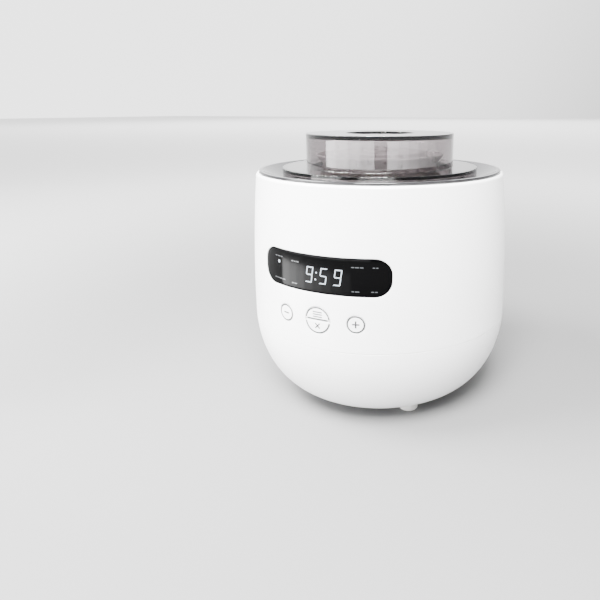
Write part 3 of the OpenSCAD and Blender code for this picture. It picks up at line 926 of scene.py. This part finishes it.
def make_digits():
    bm = bmesh.new()
    top = WINDOW_REVEAL - 0.05 * MM
    for cx, digit in ((-5.5 * MM, "9"), (4.1 * MM, "5"), (13.3 * MM, "9")):
        for letter in SEGMENTS[digit]:
            outline = [
                (cx + x + z * SLANT, WINDOW_Z - DIGIT_DROP + z)
                for x, z in segment_outline(letter)]
            inlay(bm, outline, top)
    # the colon
    colon_x, colon_z, dot = -0.9 * MM, WINDOW_Z - DIGIT_DROP - 0.4 * MM, 1 * MM
    for z in (-2.1 * MM, 2.1 * MM):
        inlay(bm, bar(colon_x + z * SLANT, colon_z + z, dot, dot), top)
    # the light of the function that is on
    inlay(bm, bar(-30.4 * MM, WINDOW_Z + 3.4 * MM, 1.7 * MM, 1.9 * MM), top)
    piece("display_digits", bm, LIT, "housing", sharp=20)


def make_labels():
    """Small marks of generic dashes where the functions' names would be, given a faint glow:
    painted light standing in for lit grey print.
    """
    bm = bmesh.new()
    top = WINDOW_REVEAL - 0.04 * MM
    gap, high = 0.4, 0.65
    # millimetres: each row's middle, across and up from the window's, and its dashes' widths
    rows = (
        (-30.5, 6.7, (1.6, 2.4, 2.0)), (-16.4, 5.8, (1.8, 1.3, 2.0)),
        (24.9, 6.3, (1.8, 2.4, 2.1)), (34.9, 6.3, (1.5, 1.2)),
        (-29.8, -7.4, (2.4, 1.5, 2.0, 2.6)), (-17.0, -8.0, (1.6, 2.2)),
        (24.0, -8.3, (1.6, 2.6)), (34.6, -8.2, (1.8, 1.5)),
    )
    for cx, cz, dashes in rows:
        width = sum(dashes) + gap * (len(dashes) - 1)
        x = cx - width / 2
        for dash in dashes:
            inlay(bm, bar((x + dash / 2) * MM, WINDOW_Z + cz * MM, dash * MM, high * MM), top)
            x += dash + gap
    piece("display_labels", bm, LABEL_PAINTED_GLOW, "housing", sharp=20)


PRINT_T = 0.12 * MM
RING_W = 0.8 * MM
RING_INSET = 0.05 * MM


def ring_print(bm, cx, d, first, last, top):
    """A printed line along a button's round edge, from one angle to another, in degrees."""
    steps = DISC_SIDES if last - first == 360 else DISC_SIDES // 2
    outer, inner = (
        arc(cx, BUTTON_Z, d / 2 - away, first, last, steps)
        for away in (RING_INSET, RING_INSET + RING_W))
    for points, depth_a, depth_b in (
        ((outer, inner), top, top), ((inner, inner), top, top + PRINT_T),
        ((inner, outer), top + PRINT_T, top + PRINT_T), ((outer, outer), top + PRINT_T, top),
    ):
        a = [bm.verts.new(on_front(*p, depth_a)) for p in points[0]]
        b = [bm.verts.new(on_front(*p, depth_b)) for p in points[1]]
        for i in range(steps):
            bm.faces.new((a[i], b[i], b[i + 1], a[i + 1]))
    if last - first < 360:
        for i in (0, steps):
            bm.faces.new([
                bm.verts.new(on_front(*p, depth)) for p, depth in (
                    (outer[i], top), (inner[i], top),
                    (inner[i], top + PRINT_T), (outer[i], top + PRINT_T))])
    bmesh.ops.remove_doubles(bm, verts=bm.verts, dist=1e-7)


def make_button_signs():
    """Generic signs: minus, plus, three menu lines and a cancel cross, each in its ring."""
    top = -0.03 * MM
    line = 0.95 * MM
    signs = {
        "button_minus": [bar(-BUTTON_X, BUTTON_Z, 4.4 * MM, line)],
        "button_plus": [
            bar(BUTTON_X, BUTTON_Z, 4.6 * MM, line), bar(BUTTON_X, BUTTON_Z, line, 4.6 * MM)],
        "button_menu": [
            bar(0, BUTTON_Z + (3.7 + k) * MM, w * MM, 0.7 * MM)
            for k, w in ((1.5, 6.5), (0, 6.5), (-1.5, 6.5))],
    }
    cross = []
    for turn in (45, -45):
        c, s = math.cos(math.radians(turn)), math.sin(math.radians(turn))
        cross.append([
            (x * c - z * s, BUTTON_Z - 3.6 * MM + x * s + z * c)
            for x, z in bar(0, 0, 4.6 * MM, 0.85 * MM)])
    signs["button_cancel"] = cross
    small, big = SMALL_BUTTON_D - 2 * BUTTON_GAP, BIG_BUTTON_D - 2 * BUTTON_GAP
    rings = {
        "button_minus": (-BUTTON_X, small, 0, 360),
        "button_plus": (BUTTON_X, small, 0, 360),
        "button_menu": (0, big, 8, 172),
        "button_cancel": (0, big, 188, 352),
    }
    signs["button_menu"].append(
        bar(0, BUTTON_Z + BUTTON_GAP / 2 + 0.55 * MM, 14.2 * MM, 0.8 * MM))
    for name, outlines in signs.items():
        bm = bmesh.new()
        ring_print(bm, *rings[name], top)
        for outline in outlines:
            inlay(bm, outline, top, PRINT_T)
        piece(name + "_sign", bm, PRINT, name, sharp=20)


# ---------------------------------------------------------------- deck, jar, cap and cover

def make_deck():
    floor = cover_lo.z
    step_r = cover_hi.x + 1.2 * MM
    ledge = DECK_Z - LEDGE_DROP
    thick = 2.2 * MM
    hole_r = pot_hi.x - 7 * MM
    outline = fillet([
        (hole_r, floor - thick, 0),
        (step_r, floor - thick, 0),
        (DECK_R - 7 * MM, ledge, 0),
        (DECK_R, ledge, 0),
        (DECK_R, DECK_Z, 0.6 * MM),
        (DECK_R - 2 * MM, DECK_Z, 1.0 * MM),
        (step_r, floor, 1.5 * MM),
        (hole_r, floor, 0.8 * MM),
    ])
    bm = bmesh.new()
    revolve(bm, braced(outline))
    obj = piece("deck_ring_dish", bm, DECK, "housing", ["deck_ring"])
    obj.data.materials.append(DECK_EDGE)
    # the upright outer edge is darker than the dish
    edge_w, upright = 0.5 * MM, 0.8
    for face in obj.data.polygons:
        c = face.center
        if math.hypot(c.x, c.y) > DECK_R - edge_w and abs(face.normal.z) < upright:
            face.material_index = 1


def jar_section(depth):
    """The jar's section from the floor up to the mouth, moved in by depth."""
    corner = 7 * MM
    shoulder, neck = 134 * MM, 150 * MM
    r = jar_hi.x
    low = arc(r - corner, jar_lo.z + corner, corner - depth, -90, 0, 10)
    rise = []
    steps = 24
    for i in range(steps + 1):
        t = i / steps
        s = 0.5 + 0.5 * math.cos(math.pi * t)
        rise.append((
            NECK_R - depth + (r - NECK_R) * s,
            shoulder - depth * 0.4 + (neck - shoulder) * t))
    return low + rise


def make_jar():
    half = GLASS_T / 2
    lip = arc(NECK_R - half, jar_hi.z - half, half, 0, 180, 10)
    # the underside is hollowed a little inside the ring that the jar stands on
    hollow_z, hollow_r, ring_r = jar_lo.z + 0.8 * MM, 30 * MM, 32 * MM
    outline = (
        [(0, hollow_z), (hollow_r, hollow_z), (ring_r, jar_lo.z)]
        + jar_section(0) + lip + jar_section(GLASS_T)[::-1] + [(0, jar_lo.z + GLASS_T)]
    )
    bm = bmesh.new()
    revolve(bm, outline)
    piece("jar_glass", bm, GLASS, "jar", ["jar"])


def make_cap():
    r = cap_hi.x
    skirt_r = 40.6 * MM
    skirt_z = cap_lo.z
    plate = seal_hi.z
    trough = plate + 2.2 * MM
    rim_z = 171 * MM
    disc_r = 33.2 * MM
    disc_z = rim_z + 1.5 * MM
    knob_r, knob_h = 12.5 * MM, 3 * MM
    outline = fillet([
        (0, disc_z - 2.2 * MM, 0),
        (disc_r - 2.2 * MM, disc_z - 2.2 * MM, 0.5 * MM),
        (disc_r - 2.2 * MM, plate, 0.5 * MM),
        (skirt_r - 1.8 * MM, plate, 0.5 * MM),
        (skirt_r - 1.8 * MM, skirt_z, 0.4 * MM),
        (skirt_r, skirt_z, 0.4 * MM),
        (skirt_r, plate + 1.6 * MM, 2.0 * MM),
        (r, rim_z - 1.2 * MM, 0.5 * MM),
        (r - 0.2 * MM, rim_z, 0.4 * MM),
        (r - 1.5 * MM, rim_z, 0.5 * MM),
        (skirt_r - 1.2 * MM, plate + 4.6 * MM, 2.0 * MM),
        (skirt_r - 2.6 * MM, trough, 1.0 * MM),
        (disc_r, trough, 1.0 * MM),
        (disc_r, disc_z, 0.8 * MM),
        (knob_r, disc_z, 0),
    ])
    outline = braced(outline) + [
        (knob_r * math.cos(a), disc_z + knob_h * math.sin(a))
        for a in (math.pi / 2 * i / 10 for i in range(1, 10))
    ] + [(0, disc_z + knob_h)]
    bm = bmesh.new()
    revolve(bm, outline)
    piece("jar_cap_shell", bm, CAP, "jar_cap", ["jar_cap"])


def make_cover():
    r, z, low = cover_hi.x, cover_hi.z, cover_lo.z
    wall = 2.4 * MM
    dome = 52.2 * MM
    tier = 162.2 * MM
    plate = 2.8 * MM
    recess_r, recess = 24 * MM, 1 * MM
    outline = fillet([
        (0, z - plate, 0),
        (dome - wall, z - plate, 0.6 * MM),
        (dome - wall, tier - wall, 0.5 * MM),
        (r - wall, tier - wall, 0.5 * MM),
        (r - wall, low, 0.3 * MM),
        (r, low, 0.3 * MM),
        (r, tier, 0.5 * MM),
        (dome, tier, 0.5 * MM),
        (dome, z, 0.5 * MM),
        (recess_r, z, 0.25 * MM),
        (recess_r, z - recess, 0.25 * MM),
        (1.6 * MM, z - recess, 0.2 * MM),
        (1.6 * MM, z - recess - 0.4 * MM, 0.2 * MM),
        (0, z - recess - 0.4 * MM, 0),
    ])
    bm = bmesh.new()
    revolve(bm, braced(outline))
    piece("cover_dome", bm, SMOKE, "cover", ["cover"])


# ---------------------------------------------------------------- finishes on the CAD nodes

FINISHES = {
    "feet": RUBBER, "housing_screws": STEEL, "cord_gland": GREY, "gland_nut": GREY,
    "heating_pot": POT, "pot_gasket": SILICONE, "pot_screws": STEEL, "heater_band": HEATER,
    "ntc_sensor": EPOXY, "sensor_clip": SPRING, "thermal_fuse": EPOXY, "fuse_clip": SPRING,
    "display_board": BOARD, "led_module": PART_BLACK, "indicator_leds": PART_WHITE,
    "tact_switches": PART_BLACK, "display_screws": STEEL, "power_board": PHENOLIC,
    "relay": PART_BLUE, "filter_capacitor": PART_BLACK, "buzzer": PART_BLACK,
    "terminal_block": PART_GREEN, "power_screws": STEEL, "signal_cable": RIBBON,
    "button_minus": BUTTON_WHITE, "button_menu": BUTTON_WHITE,
    "button_cancel": BUTTON_WHITE, "button_plus": BUTTON_WHITE, "cap_seal": SILICONE,
    "upper_housing": WHITE, "lower_housing": WHITE, "deck_ring": DECK,
    "display_window": BLACK, "jar": GLASS, "jar_cap": CAP, "cover": SMOKE,
}


def finish_nodes():
    """Gives each CAD node its material, also those that a finer piece stands for."""
    for name, material in FINISHES.items():
        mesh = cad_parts[name].data
        if not mesh.materials:
            mesh.materials.append(material)
        for i in range(len(mesh.materials)):
            mesh.materials[i] = material


# ---------------------------------------------------------------- stage and light

def make_stage():
    bm = bmesh.new()
    size, steps = 24.0, 24
    points = [
        [bm.verts.new((size * (i / steps - 0.5), size * (j / steps - 0.5), 0))
         for i in range(steps + 1)] for j in range(steps + 1)
    ]
    for j in range(steps):
        for i in range(steps):
            bm.faces.new((
                points[j][i], points[j][i + 1], points[j + 1][i + 1], points[j + 1][i]))
    # painted light: the floor's colour grows paler with distance from the object, to make up for
    # the lights' falling off
    near_white, far_white = 0.16, 0.80
    s = Shader("stage_painted_light_floor", (near_white, near_white, near_white), 0.8)
    away = s.node("ShaderNodeVectorMath", operation="LENGTH")
    s.link(s.place, away.inputs[0])
    paler = map_range(
        s.tree, away.outputs["Value"], 0.2, 1.3, near_white, far_white, "SMOOTHSTEP")
    s.link(paler, s.shader.inputs["Base Color"])
    floor = make_object("stage_floor", bm, [s.material])


def towards(azimuth, elevation):
    """The direction from the object to an azimuth and elevation, in degrees."""
    a, e = math.radians(azimuth), math.radians(elevation)
    return Vector((math.sin(a) * math.cos(e), -math.cos(a) * math.cos(e), math.sin(e)))


def area_light(name, azimuth, elevation, away, width, height, power, aim):
    """A soft panel seen from aim at an azimuth and elevation, and facing it."""
    data = bpy.data.lights.new(name, "AREA")
    data.shape = "RECTANGLE"
    data.size = width
    data.size_y = height
    data.energy = power
    obj = bpy.data.objects.new(name, data)
    bpy.context.scene.collection.objects.link(obj)
    back = towards(azimuth, elevation)
    obj.location = Vector(aim) + back * away
    obj.rotation_mode = "QUATERNION"
    obj.rotation_quaternion = back.to_track_quat("Z", "Y")
    obj.visible_camera = False
    return data


# The studio's even surround, and its soft glows: azimuth, elevation, where each begins and
# is full as the cosine of the angle from its middle, and its strength
SURROUND = 0.75
GLOWS = (
    (238, 25, 0.2, 0.9, 2.2),
    (-75, 15, 0.1, 0.9, 0.3),
    (0, 90, 0.1, 1.0, 1.0),
)


def make_world():
    """A pale studio: an even surround with broad soft glows behind, at the left and above."""
    world = bpy.data.worlds.new("studio")
    bpy.context.scene.world = world
    world.use_nodes = True
    tree = world.node_tree
    place = tree.nodes.new("ShaderNodeTexCoord")
    total = None
    for azimuth, elevation, first, full, strength in GLOWS:
        dot = tree.nodes.new("ShaderNodeVectorMath")
        dot.operation = "DOT_PRODUCT"
        dot.inputs[1].default_value = towards(azimuth, elevation)
        tree.links.new(place.outputs["Generated"], dot.inputs[0])
        glow = map_range(
            tree, dot.outputs["Value"], first, full, 0, strength, "SMOOTHSTEP")
        if total is None:
            total = glow
            continue
        add = tree.nodes.new("ShaderNodeMath")
        tree.links.new(total, add.inputs[0])
        tree.links.new(glow, add.inputs[1])
        total = add.outputs["Value"]
    base = tree.nodes.new("ShaderNodeMath")
    base.inputs[1].default_value = SURROUND
    tree.links.new(total, base.inputs[0])
    sky = tree.nodes["Background"]
    sky.inputs["Color"].default_value = (1, 1, 1, 1)
    tree.links.new(base.outputs["Value"], sky.inputs["Strength"])


def light_row(name, first, last, away, low, high, glows):
    """Soft panels side by side between two azimuths and two heights, one for each glow.
    A glow is the panel's brightness seen head on, which share keeps when spread is limited."""
    step = (last - first) / len(glows)
    width = 2 * away * math.tan(math.radians(step) / 2)
    height = high - low
    half_spread = math.radians(45)
    share = 1 - half_spread / math.tan(half_spread)
    for i, glow in enumerate(glows):
        power = glow * share * math.pi * width * height
        data = area_light("%s_%d" % (name, i), first + step * (i + 0.5), 0, away, width,
                          height, power, (0, 0, (low + high) / 2))
        data.spread = 2 * half_spread


def make_light():
    make_world()
    # the low strip shows in the window, and the panels in the cover's upright wall, whose
    # dark band under the top edge is what lies above them
    light_row("near_strip", -55.5, 3.5, 0.3, 0.01, 0.062, (48, 48, 44, 30, 22, 15, 9, 5))
    light_row("front_panel", -62, 16.4, 0.9, 0.045, 0.132, (26, 22, 17, 12))
    light_row("right_panel", 35.1, 115, 0.9, 0.045, 0.132, (13, 9, 6, 3, 1.5))
    area_light("key_left", -58, 48, 0.85, 0.4, 0.4, 46, (0, 0, 0.1))
    area_light("key_right", 20, 54, 0.75, 0.35, 0.35, 50, (0, 0, 0.1))
    wash = area_light("floor_wash", 0, 90, 3.5, 7, 7, 330, towards(204.3, 0) * 7)
    wash.spread = math.radians(100)


make_camera()
make_upper_housing()
make_lower_housing()
make_buttons()
make_window()
make_digits()
make_labels()
make_button_signs()
make_deck()
make_jar()
make_cap()
make_cover()
finish_nodes()
make_stage()
make_light()
